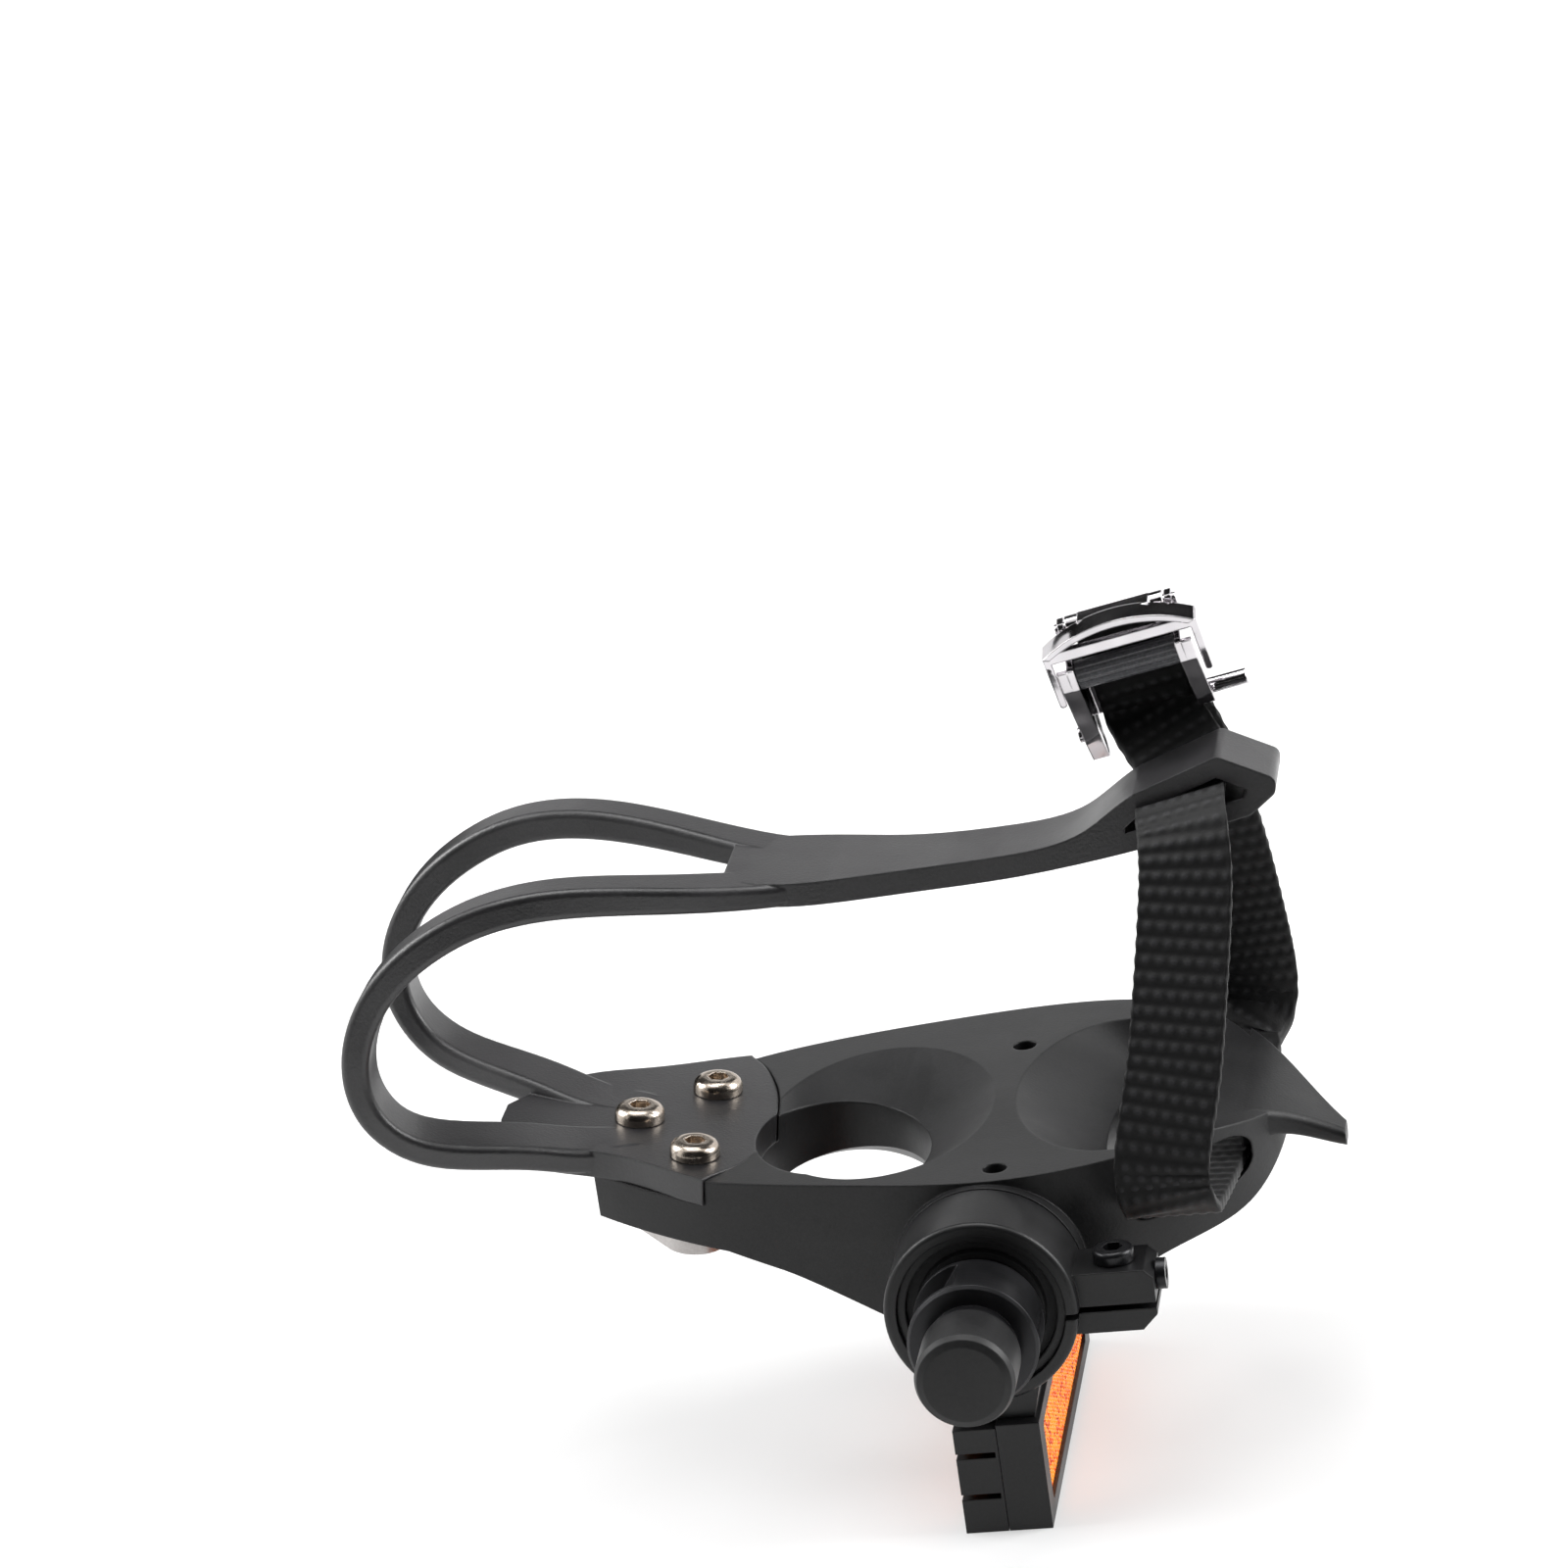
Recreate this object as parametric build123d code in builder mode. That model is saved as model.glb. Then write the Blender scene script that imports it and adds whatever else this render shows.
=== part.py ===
from build123d import *
import math
import os

os.makedirs("parts", exist_ok=True)

# Frame: X to the toe, Y to the crank, Z up; origin on the spindle axis at the crank seat

# Running clearances
run_gap = 0.05
fit_gap = 0.1
rest_gap = 0.12

# Spindle and thread, 9/16 inch by 20 turns an inch
thread_r = 7.14
pitch_r = 6.75
thread_len = 12.5
seat_r = 10.4
seat_len = 10.5
flats_af = 15.0
collar_r = 8.9
shaft_r = 6.4
tip_r = 4.4

# Barrel and deck of the moulded body
barrel_in = -26.0
barrel_out = -102.0
neck_end = -13.0
bore_r = shaft_r + 2.0
deck_z = 16.0

# Cup and ball bearings
in_ball_y = -21.0
in_ball_r = 2.0
in_pitch_r = 8.9
in_balls = 11
out_ball_y = -88.0
out_ball_r = 1.75
out_pitch_r = 7.6
out_balls = 12
cup_r = in_pitch_r + 3.1
neck_r = cup_r + 1.4
barrel_r = cup_r + 3.5

# Seats along the spindle
cone_y = -17.0
in_seat_end = in_ball_y - 4.2
out_seat_end = out_ball_y + 4.0
tip_end = -98.0
bare_len = 3.0
cap_r = 7.9
cap_end = 13.6
dust_cap_r = cup_r + 0.9
dust_cap_t = 2.8

# Strap passage and flip tab of the body
pass_x = -33.6
pass_y = -62.0
pass_z = 8.1
pass_slant = 5.0
pass_w = 18.0
pass_h = 8.4
# flip tail: X, Y, Z, width and thickness of its sections
tail = [(-40.0, -71.5, 10.5, 38.0, 6.4), (-46.0, -69.0, 9.6, 25.0, 4.2), (-51.0, -65.5, 7.5, 14.5, 3.6),
        (-56.4, -61.3, 5.3, 5.6, 2.9)]

# Toe clip
clip_y = -59.0
clip_tilt = 8.0
clip_t = 4.6
base_x = 48.5
base_z = 16.9
screw_half = 13.4
screw_fore = 11.2
screw_r = 2.5
head_r = 4.15
head_h = 2.6
nut_plate_t = 1.9
tongue_t = 7.6
tongue_end = 24.0
seam_gap = 0.2
root_back = 7.0
nut_plate_w = 10.0
# seam between the clip base and the deck, from the crank side to the far side
seam = [(-2.4, 27.0), (-3.0, 22.8), (-6.4, 18.4), (-9.6, 12.6), (-11.0, 4.0), (-11.2, -6.0), (-10.2, -14.0),
        (-8.4, -20.4), (-6.2, -25.6), (-3.6, -29.6), (-2.6, -35.0)]

# Strap
strap_w = 15.0
strap_t = 1.8

# Reflector
box_half = 7.0
box_len = 70.0
box_in = -11.0
box_h = 18.6
box_low = -37.6
lens_len = 60.0
lens_h = 13.6
lens_t = 2.4

# Plane of the clip base, tilted up to the toe
tilt = math.radians(clip_tilt)
clip_plane = Plane(
    origin=(base_x, clip_y, base_z),
    x_dir=(math.cos(tilt), 0, math.sin(tilt)),
    z_dir=(-math.sin(tilt), 0, math.cos(tilt)),
)
# Plane across the strap passage
slant = math.radians(pass_slant)
pass_plane = Plane(
    origin=(pass_x, pass_y, pass_z), x_dir=(-math.cos(slant), math.sin(slant), 0),
    z_dir=(math.sin(slant), math.cos(slant), 0)
)
screw_spots = [(0, screw_half), (0, -screw_half), (screw_fore, 0)]

# Outline of the deck seen from above
near_side = [(66, -46.5), (57, -41), (47, -36.5), (36, -33.2), (22, -30.2), (8, -27.8), (-4, -27.6),
             (-14, -29.8), (-25, -35), (-36, -44), (-44, -55), (-46.5, -65)]
far_side = [(-46.5, -65), (-44, -77), (-38, -89), (-29, -97.5), (-18, -101.3), (-4, -101.4), (10, -99),
            (28, -94.5), (44, -88), (56, -79.5), (66, -71.5)]
# Hull line under the deck, from tongue to rear rim
tongue_drop = tongue_t + clip_t
hull = [(34, 0.8), (19, -6.5), (8, -11), (-8, -11), (-18, -6.8), (-26, -3.1), (-34, -1.8), (-41, -0.2),
        (-45, 3.2), (-48, 8.5)]
# Window holes and the scoops that lead into them
hole_1 = (25.4, -54.5, 14.2, 19.0)
scoop_1 = (19.5, -60.0, 19.0, 27.5)
scoop_1_z = 12.2
scoop_1_tilt = 9.0
flare_top = 4.6
flare_low = -13.0
flare_1 = (34.6, -70.3, 23.6, 41.0)
hole_2 = (-25.5, -64.0, 8.5, 24.0)
scoop_2 = (-19.8, -64.5, 17.0, 28.0)
scoop_2_deep = 9.0
# blind holes on the bridge between the windows
bridge_x = -2.3
bridge_y = (-84.0, -32.5)
bridge_r = 2.0

# Moulded body
with BuildPart() as pedal_body:
    with BuildSketch(Plane.XY.offset(deck_z + 8)):
        with BuildLine():
            Spline(*near_side)
            Spline(*far_side)
            Line(far_side[-1], near_side[0])
        make_face()
    extrude(amount=-60)
    # side view of the deck wedge
    low_tip = clip_plane.from_local_coords(Vector(tongue_end, 0, -tongue_drop))
    low_root = clip_plane.from_local_coords(Vector(-root_back, 0, -tongue_drop))
    with BuildSketch(Plane.XZ):
        with BuildLine():
            Polyline((-26, deck_z), (low_tip.X, deck_z), (low_tip.X, low_tip.Z), (low_root.X, low_root.Z),
                     hull[0])
            Spline(*hull)
            Line(hull[-1], (-48, 10.5))
            Spline((-48, 10.5), (-37, 14.6), (-26, deck_z), tangents=[(1, 0.5), (1, 0)])
        make_face()
    extrude(amount=130, mode=Mode.INTERSECT)
    # seat of the clip base, cut down from the seam to the toe
    with BuildSketch(clip_plane.offset(-clip_t)):
        with BuildLine():
            Spline(*seam)
            Polyline(seam[-1], (60, seam[-1][1] - 20), (60, seam[0][1] + 20), seam[0])
        make_face()
    extrude(amount=30, mode=Mode.SUBTRACT)
    # straight hole of the second window
    with BuildSketch(Plane.XY.offset(deck_z + 8)):
        with Locations(hole_2[:2]):
            Ellipse(*hole_2[2:])
    extrude(amount=-60, mode=Mode.SUBTRACT)
    # barrel round the spindle, and the neck that carries the reflector clamp
    with BuildSketch(Plane.XZ.offset(-barrel_in)):
        Circle(barrel_r)
    extrude(amount=barrel_in - barrel_out)
    with BuildSketch(Plane.XZ.offset(-neck_end)):
        Circle(neck_r)
    extrude(amount=neck_end - barrel_in + 2)
    # scoop of the second window
    with BuildSketch(Plane.XY.offset(deck_z + 0.01)):
        with Locations(scoop_2[:2]):
            Ellipse(*scoop_2[2:])
    with BuildSketch(Plane.XY.offset(deck_z - scoop_2_deep)):
        with Locations(hole_2[:2]):
            Ellipse(*hole_2[2:])
    loft(mode=Mode.SUBTRACT)
    # first window: a dish that dips to the bridge, a straight hole, and a flare to the underside
    with BuildSketch(Plane.XY.offset(deck_z + 0.01)):
        with Locations(scoop_1[:2]):
            Ellipse(*scoop_1[2:])
    dip = math.radians(scoop_1_tilt)
    with BuildSketch(Plane(origin=(hole_1[0], hole_1[1], scoop_1_z), x_dir=(math.cos(dip), 0, math.sin(dip)),
                           z_dir=(-math.sin(dip), 0, math.cos(dip)))):
        Ellipse(hole_1[2] - 0.8, hole_1[3] - 0.8)
    loft(mode=Mode.SUBTRACT)
    with BuildSketch(Plane.XY.offset(deck_z + 8)):
        with Locations(hole_1[:2]):
            Ellipse(*hole_1[2:])
    extrude(amount=-60, mode=Mode.SUBTRACT)
    with BuildSketch(Plane.XY.offset(flare_top)):
        with Locations(hole_1[:2]):
            Ellipse(hole_1[2] - 0.6, hole_1[3] - 0.6)
    with BuildSketch(Plane.XY.offset(flare_low)):
        with Locations(flare_1[:2]):
            Ellipse(*flare_1[2:])
    loft(mode=Mode.SUBTRACT)
    # strap passage through both side walls, slanted to the rear on the far side
    with BuildSketch(pass_plane):
        RectangleRounded(pass_w, pass_h, 3.6)
    extrude(amount=50, both=True, mode=Mode.SUBTRACT)
    # flip tail at the rear
    for x, y, z, w, t in tail:
        with BuildSketch(Plane.YZ.offset(x)):
            with Locations((y, z)):
                RectangleRounded(w, t, 1.3)
    loft()
    # bore, bearing seats and the dust cap recess
    with BuildSketch(Plane.XZ.offset(-neck_end)):
        Circle(bore_r)
    extrude(amount=neck_end - barrel_out, mode=Mode.SUBTRACT)
    with BuildSketch(Plane.XZ.offset(-neck_end)):
        Circle(cup_r + run_gap)
    extrude(amount=neck_end - in_seat_end, mode=Mode.SUBTRACT)
    with BuildSketch(Plane.XZ.offset(-out_seat_end)):
        Circle(cup_r + run_gap)
    extrude(amount=out_seat_end - barrel_out, mode=Mode.SUBTRACT)
    with BuildSketch(Plane.XZ.offset(-barrel_out - dust_cap_t)):
        Circle(dust_cap_r + fit_gap)
    extrude(amount=dust_cap_t, mode=Mode.SUBTRACT)
    # clip screw holes in the tongue, and the two blind holes on the bridge
    with BuildSketch(clip_plane):
        with Locations(*screw_spots):
            Circle(screw_r + fit_gap)
    extrude(amount=-40, mode=Mode.SUBTRACT)
    with BuildSketch(Plane.XY.offset(deck_z)):
        with Locations((bridge_x, bridge_y[0]), (bridge_x, bridge_y[1])):
            Circle(bridge_r)
    extrude(amount=-2.6, mode=Mode.SUBTRACT)
pedal_body.part.label = "pedal_body"
export_step(pedal_body.part, "parts/pedal_body.step")

# Spindle: thread, wrench seat, collar, inboard cone, shaft and threaded tip
with BuildPart() as spindle:
    with BuildSketch(Plane.XY):
        with BuildLine():
            Polyline((0, thread_len), (pitch_r - 0.8, thread_len), (pitch_r, thread_len - 0.8),
                     (pitch_r, bare_len), (thread_r, bare_len), (thread_r, 0), (seat_r - 0.5, 0),
                     (seat_r, -0.5), (seat_r, -seat_len + 0.5), (seat_r - 0.5, -seat_len),
                     (collar_r, -seat_len), (collar_r, cone_y), (in_pitch_r - 0.7, cone_y),
                     (in_pitch_r - 0.7, in_ball_y), (shaft_r, in_ball_y), (shaft_r, -74), (5.2, -78),
                     (5.2, out_ball_y + 2), (tip_r, out_ball_y + 2), (tip_r, tip_end), (0, tip_end),
                     close=True)
        make_face()
    revolve(axis=Axis.Y)
    with BuildSketch(Plane.XY):
        with Locations((in_pitch_r, in_ball_y)):
            Circle(in_ball_r + run_gap)
    revolve(axis=Axis.Y, mode=Mode.SUBTRACT)
    # wrench flats
    with BuildSketch(Plane.XZ.offset(1.4)):
        with Locations(Rot(0, 0, 35)):
            with Locations((flats_af / 2 + 5, 0), (-flats_af / 2 - 5, 0)):
                Rectangle(10, 40)
    extrude(amount=seat_len - 2.8, mode=Mode.SUBTRACT)
spindle.part.label = "spindle"
export_step(spindle.part, "parts/spindle.step")

# Pull-off cap over the thread
with BuildPart() as thread_cap:
    with BuildSketch(Plane.XY):
        with BuildLine():
            Polyline((0, thread_len + rest_gap), (pitch_r + run_gap, thread_len + rest_gap),
                     (pitch_r + run_gap, bare_len + rest_gap), (cap_r, bare_len + rest_gap),
                     (cap_r, cap_end - 1.6), (cap_r - 0.5, cap_end - 0.5), (cap_r - 1.6, cap_end),
                     (0, cap_end), close=True)
        make_face()
    revolve(axis=Axis.Y)
thread_cap.part.label = "thread_cap"
export_step(thread_cap.part, "parts/thread_cap.step")

# Rubber seal in the mouth of the neck
with BuildPart() as inboard_seal:
    with BuildSketch(Plane.XY):
        with BuildLine():
            Polyline((collar_r + run_gap, neck_end - 0.5), (collar_r + 1.2, neck_end - 0.5),
                     (cup_r - 1.6, neck_end - 1.4), (cup_r, neck_end - 1.4), (cup_r, cone_y + 0.1),
                     (collar_r + run_gap, cone_y + 0.1), close=True)
        make_face()
    revolve(axis=Axis.Y)
inboard_seal.part.label = "inboard_seal"
export_step(inboard_seal.part, "parts/inboard_seal.step")

# Inboard cup
with BuildPart() as inboard_cup:
    with BuildSketch(Plane.XY):
        with BuildLine():
            Polyline((in_pitch_r + 0.7, cone_y), (cup_r, cone_y), (cup_r, in_seat_end),
                     (shaft_r + 1, in_seat_end), (shaft_r + 1, in_ball_y), (in_pitch_r + 0.7, in_ball_y),
                     close=True)
        make_face()
    revolve(axis=Axis.Y)
    with BuildSketch(Plane.XY):
        with Locations((in_pitch_r, in_ball_y)):
            Circle(in_ball_r + run_gap)
    revolve(axis=Axis.Y, mode=Mode.SUBTRACT)
inboard_cup.part.label = "inboard_cup"
export_step(inboard_cup.part, "parts/inboard_cup.step")

# Inboard balls
with BuildPart() as inboard_balls:
    with Locations(Plane.XZ.offset(-in_ball_y)):
        with PolarLocations(in_pitch_r, in_balls):
            Sphere(in_ball_r)
inboard_balls.part.label = "inboard_balls"
export_step(inboard_balls.part, "parts/inboard_balls.step")

# Outboard cup
with BuildPart() as outboard_cup:
    with BuildSketch(Plane.XY):
        with BuildLine():
            Polyline((out_pitch_r - 1.2, out_seat_end), (cup_r, out_seat_end), (cup_r, out_ball_y - 4),
                     (out_pitch_r + 0.6, out_ball_y - 4), (out_pitch_r + 0.6, out_ball_y),
                     (out_pitch_r - 1.2, out_ball_y), close=True)
        make_face()
    revolve(axis=Axis.Y)
    with BuildSketch(Plane.XY):
        with Locations((out_pitch_r, out_ball_y)):
            Circle(out_ball_r + run_gap)
    revolve(axis=Axis.Y, mode=Mode.SUBTRACT)
outboard_cup.part.label = "outboard_cup"
export_step(outboard_cup.part, "parts/outboard_cup.step")

# Outboard balls
with BuildPart() as outboard_balls:
    with Locations(Plane.XZ.offset(-out_ball_y)):
        with PolarLocations(out_pitch_r, out_balls):
            Sphere(out_ball_r)
outboard_balls.part.label = "outboard_balls"
export_step(outboard_balls.part, "parts/outboard_balls.step")

# Adjusting cone on the spindle tip
with BuildPart() as cone_nut:
    with BuildSketch(Plane.XY):
        with BuildLine():
            Polyline((tip_r + run_gap, out_ball_y), (out_pitch_r - 0.9, out_ball_y),
                     (out_pitch_r - 0.9, out_ball_y - 4), (out_pitch_r - 1.7, out_ball_y - 4.8),
                     (tip_r + run_gap, out_ball_y - 4.8), close=True)
        make_face()
    revolve(axis=Axis.Y)
    with BuildSketch(Plane.XY):
        with Locations((out_pitch_r, out_ball_y)):
            Circle(out_ball_r + run_gap)
    revolve(axis=Axis.Y, mode=Mode.SUBTRACT)
cone_nut.part.label = "cone_nut"
export_step(cone_nut.part, "parts/cone_nut.step")

# Washer and lock nut behind the cone
with BuildPart() as lock_washer:
    with BuildSketch(Plane.XZ.offset(-out_ball_y + 4.8)):
        Circle(out_pitch_r - 1.0)
        Circle(tip_r + run_gap, mode=Mode.SUBTRACT)
    extrude(amount=1.0)
lock_washer.part.label = "lock_washer"
export_step(lock_washer.part, "parts/lock_washer.step")

with BuildPart() as lock_nut:
    with BuildSketch(Plane.XZ.offset(-out_ball_y + 5.8)):
        RegularPolygon(out_pitch_r - 1.6, 6, major_radius=False)
        Circle(tip_r + run_gap, mode=Mode.SUBTRACT)
    extrude(amount=3.4)
lock_nut.part.label = "lock_nut"
export_step(lock_nut.part, "parts/lock_nut.step")

# Dust cap flush in the outboard end
with BuildPart() as dust_cap:
    with BuildSketch(Plane.XZ.offset(-barrel_out - dust_cap_t)):
        Circle(dust_cap_r)
    extrude(amount=dust_cap_t)
    fillet(dust_cap.faces().sort_by(Axis.Y)[0].edges(), 0.6)
dust_cap.part.label = "dust_cap"
export_step(dust_cap.part, "parts/dust_cap.step")

# Toe clip: base plate, two hoops, arm and strap tunnel in one moulding
base_near = [(-14, 28.0), (-6, 24.6), (0, 21.9), (6, 18.6), (14, 14.8), (22, 13.4), (28, 11.6), (34, 3.2)]
base_far = [(34, -3.2), (28, -12.6), (22, -18.4), (14, -21.6), (6, -25.0), (0, -28.0), (-6, -30.4),
            (-14, -33.0)]
base_rear = [(x + seam_gap, y) for x, y in seam]
# hoop sections: X, half spread from the middle plane, Z, width, thickness; the toe slants back on the
# crank side
hoop_skew = 0.026
hoop = [
    (58, 6.2, 16.3, 9.0, 3.4), (66, 8.8, 17.5, 10.4, 3.8), (76, 12.9, 20.4, 11.0, 4.3),
    (86, 17.2, 23.3, 10.8, 4.4), (94.4, 20.3, 27.0, 10.0, 4.4), (98.8, 21.6, 32.0, 9.2, 4.4),
    (100.5, 22.0, 37.6, 8.6, 4.5), (100.1, 22.2, 43.0, 8.2, 4.6), (97.6, 22.2, 49.2, 7.8, 4.8),
    (92.2, 22.2, 55.8, 7.6, 5.0), (85.6, 22.0, 60.5, 7.6, 5.1), (77.6, 21.4, 63.9, 7.5, 5.1),
    (68, 19.7, 65.3, 7.5, 5.1), (56, 16.6, 64.3, 7.6, 4.9), (45, 12.9, 62.2, 8.0, 4.5),
    (35, 9.2, 60.4, 8.6, 4.1), (25, 6.6, 59.6, 8.4, 3.9),
]
# arm and strap tunnel: top and bottom lines of the side view, and the half widths seen from above
arm_top = [(38, 62.8), (28, 61.8), (20, 61.5), (10, 61.3), (2, 61.4), (-8, 61.9), (-15, 62.7), (-20.5, 64.4),
           (-25.2, 67.4), (-29.6, 70.2)]
tunnel_out = [(-29.6, 70.2), (-43.6, 75.4), (-52.6, 70.9), (-52.3, 68.4), (-48, 65.0), (-30, 60.9)]
arm_low = [(-30, 60.9), (-19, 59.1), (-8, 57.9), (2, 57.4), (10, 57.3), (20, 57.5), (28, 57.8), (38, 58.8)]
arm_half = [(38, 9.0), (28, 11.3), (20, 10.5), (10, 8.5), (2, 7.6), (-8, 7.2), (-19, 6.9), (-30, 6.9),
            (-56, 6.9)]
tunnel_floor = [(-27.6, 63.7), (-47.0, 68.0)]
tunnel_in = [tunnel_floor[0], (-27.6, 64.6), (-31.0, 67.3), (-43.2, 71.8), (-47.8, 69.4), tunnel_floor[1]]

with BuildPart() as toe_clip:
    with BuildSketch(Plane.XZ.offset(-clip_y - 15)):
        with BuildLine() as outside:
            Spline(*arm_top)
            Polyline(*tunnel_out)
            Spline(*arm_low)
            Line(arm_low[-1], arm_top[0])
        make_face()
        fillet(outside.vertices().filter_by(lambda v: v.X < -40), 1.6)
        with BuildLine():
            Polyline(*tunnel_in, close=True)
        make_face(mode=Mode.SUBTRACT)
    extrude(amount=30)
    with BuildSketch(Plane.XY.offset(50)):
        with BuildLine():
            Spline(*[(x, clip_y + h) for x, h in arm_half])
            Spline(*[(x, clip_y - h) for x, h in arm_half])
            Line((arm_half[0][0], clip_y + arm_half[0][1]), (arm_half[0][0], clip_y - arm_half[0][1]))
            Line((arm_half[-1][0], clip_y + arm_half[-1][1]), (arm_half[-1][0], clip_y - arm_half[-1][1]))
        make_face()
    extrude(amount=30, mode=Mode.INTERSECT)
    with BuildSketch(clip_plane):
        with BuildLine():
            Spline(*base_near)
            Line(base_near[-1], base_far[0])
            Spline(*base_far)
            Line(base_far[-1], base_near[0])
        make_face()
        with BuildLine():
            Spline(*base_rear)
            Polyline(base_rear[-1], (60, base_rear[-1][1] - 20), (60, base_rear[0][1] + 20), base_rear[0])
        make_face(mode=Mode.INTERSECT)
    extrude(amount=-clip_t)
    for side in (1, -1):
        ends = [Vector(x - side * hoop_skew * (x - hoop[0][0]), clip_y + side * d, z)
                for x, d, z, w, t in hoop]
        for i, (x, d, z, w, t) in enumerate(hoop):
            way = ends[min(i + 1, len(ends) - 1)] - ends[max(i - 1, 0)]
            way = way.normalized()
            across = Vector(0, 1, 0) - way * way.Y
            with BuildSketch(Plane(origin=ends[i], x_dir=across, z_dir=way)):
                RectangleRounded(w, t, 1.1)
        loft()
    # edge of the first window, and the screw holes
    with BuildSketch(Plane.XY.offset(deck_z + 8)):
        with Locations(hole_1[:2]):
            Ellipse(*hole_1[2:])
    extrude(amount=-20, mode=Mode.SUBTRACT)
    with BuildSketch(clip_plane):
        with Locations(*screw_spots):
            Circle(screw_r + fit_gap)
    extrude(amount=-clip_t - 3, mode=Mode.SUBTRACT)
toe_clip.part.label = "toe_clip"
export_step(toe_clip.part, "parts/toe_clip.step")

# Three button-head screws through the clip base
with BuildPart() as clip_screws:
    with BuildSketch(clip_plane.offset(rest_gap)):
        with Locations(*screw_spots):
            Circle(head_r)
    extrude(amount=head_h)
    fillet(clip_screws.faces().filter_by(lambda f: f.normal_at().Z > 0.9
                                         and f.center().Z > base_z + 1).edges(), 1.7)
    with BuildSketch(clip_plane.offset(rest_gap)):
        with Locations(*screw_spots):
            Circle(screw_r)
    extrude(amount=-clip_t - tongue_t - nut_plate_t - 1.4)
    with BuildSketch(clip_plane.offset(rest_gap + head_h)):
        with Locations(*screw_spots):
            RegularPolygon(1.6, 6, major_radius=False)
    extrude(amount=-1.7, mode=Mode.SUBTRACT)
clip_screws.part.label = "clip_screws"
export_step(clip_screws.part, "parts/clip_screws.step")

# Aluminium nut plate under the tongue, bent like a boomerang
with BuildPart() as nut_plate:
    with BuildSketch(clip_plane.offset(-clip_t - tongue_t - rest_gap / 2)):
        for side in (1, -1):
            turn = math.degrees(math.atan2(-side * screw_half, screw_fore))
            with Locations(Location((screw_fore / 2, side * screw_half / 2, 0), (0, 0, turn))):
                SlotCenterToCenter(math.hypot(screw_fore, screw_half), nut_plate_w)
        with Locations(*screw_spots):
            Circle(screw_r + fit_gap, mode=Mode.SUBTRACT)
    extrude(amount=-nut_plate_t)
nut_plate.part.label = "nut_plate"
export_step(nut_plate.part, "parts/nut_plate.step")

# Plane of the buckle: across the strap to the rear, up the strap, and out to the crank side; its top
# tips to the crank
buckle_lean = 10.5
buckle_pitch = 14.0
lean = math.radians(buckle_lean)
pitch = math.radians(buckle_pitch)
roller_r = 2.4
buckle_plane = Plane(
    origin=(-29.8, -67.75, 87.4),
    x_dir=(-math.cos(lean), 0, math.sin(lean)),
    z_dir=(-math.sin(lean) * math.sin(pitch), math.cos(pitch), -math.cos(lean) * math.sin(pitch)),
)


def pass_spot(along, up):
    spot = pass_plane.from_local_coords(Vector(0, up, along))
    return (spot.X, spot.Y, spot.Z, 0)


def buckle_spot(up, out):
    spot = buckle_plane.from_local_coords(Vector(0, up, out))
    return (spot.X, spot.Y, spot.Z, buckle_lean)


# Strap of flat webbing: X, Y, Z of its middle line and the slope of its width
floor_slope = math.degrees(math.atan2(tunnel_floor[1][1] - tunnel_floor[0][1],
                                      tunnel_floor[0][0] - tunnel_floor[1][0]))
floor_x = (tunnel_floor[0][0] + tunnel_floor[1][0]) / 2
floor_z = (tunnel_floor[0][1] + tunnel_floor[1][1]) / 2
rest_z = floor_z + (strap_t / 2 + rest_gap) / math.cos(math.radians(floor_slope))
strap_line = [
    (floor_x, clip_y - 0.05, rest_z, floor_slope), (floor_x, clip_y - 6.0, rest_z, floor_slope),
    (floor_x + 0.4, -68.4, rest_z + 1.2, 13), buckle_spot(-13.0, -3.1), buckle_spot(-8.0, -3.45),
    buckle_spot(-2.6, -3.45), buckle_spot(1.0, -3.45), buckle_spot(2.9, -4.1), buckle_spot(3.5, -5.25),
    buckle_spot(2.9, -6.4), buckle_spot(1.0, -7.05), buckle_spot(-5.0, -7.2),
    buckle_spot(-12.5, -8.6), (-36.4, -81.0, 64.0, 9), (-38.8, -88.4, 47.0, 6), (-40.0, -94.6, 31.0, 3),
    (-40.4, -99.0, 19.0, 1), (-39.4, -100.3, 13.2, 0), pass_spot(-36.3, 1.5), pass_spot(-32.2, -1.1),
    pass_spot(-20.0, -2.2), pass_spot(0, -2.5), pass_spot(18.0, -1.6), pass_spot(30.6, -0.4),
    pass_spot(34.8, 0.9), (-29.7, -25.4, 13.4, 0), (-30.6, -26.4, 19.6, 0), (-33.4, -30.8, 31.0, 3),
    (-35.8, -36.6, 45.0, 7), (-37.5, -41.6, 57.0, 10), (floor_x - 0.4, -45.2, rest_z - 3.4, 12),
    (floor_x, -49.6, rest_z - 0.5, floor_slope), (floor_x, clip_y + 6.0, rest_z, floor_slope),
    (floor_x, clip_y + 0.05, rest_z, floor_slope),
]


# Even steps along a line of spots, so that the webbing bends smoothly
def eased(line, steps):
    made = []
    for i in range(len(line) - 1):
        a, b, c, d = line[max(i - 1, 0)], line[i], line[i + 1], line[min(i + 2, len(line) - 1)]
        for k in range(steps):
            t = k / steps
            made.append(tuple(
                0.5 * (2 * q + (r - p) * t + (2 * p - 5 * q + 4 * r - s) * t**2 + (3 * q - p - 3 * r + s) * t**3)
                for p, q, r, s in zip(a, b, c, d)
            ))
    return made + [line[-1]]


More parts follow.
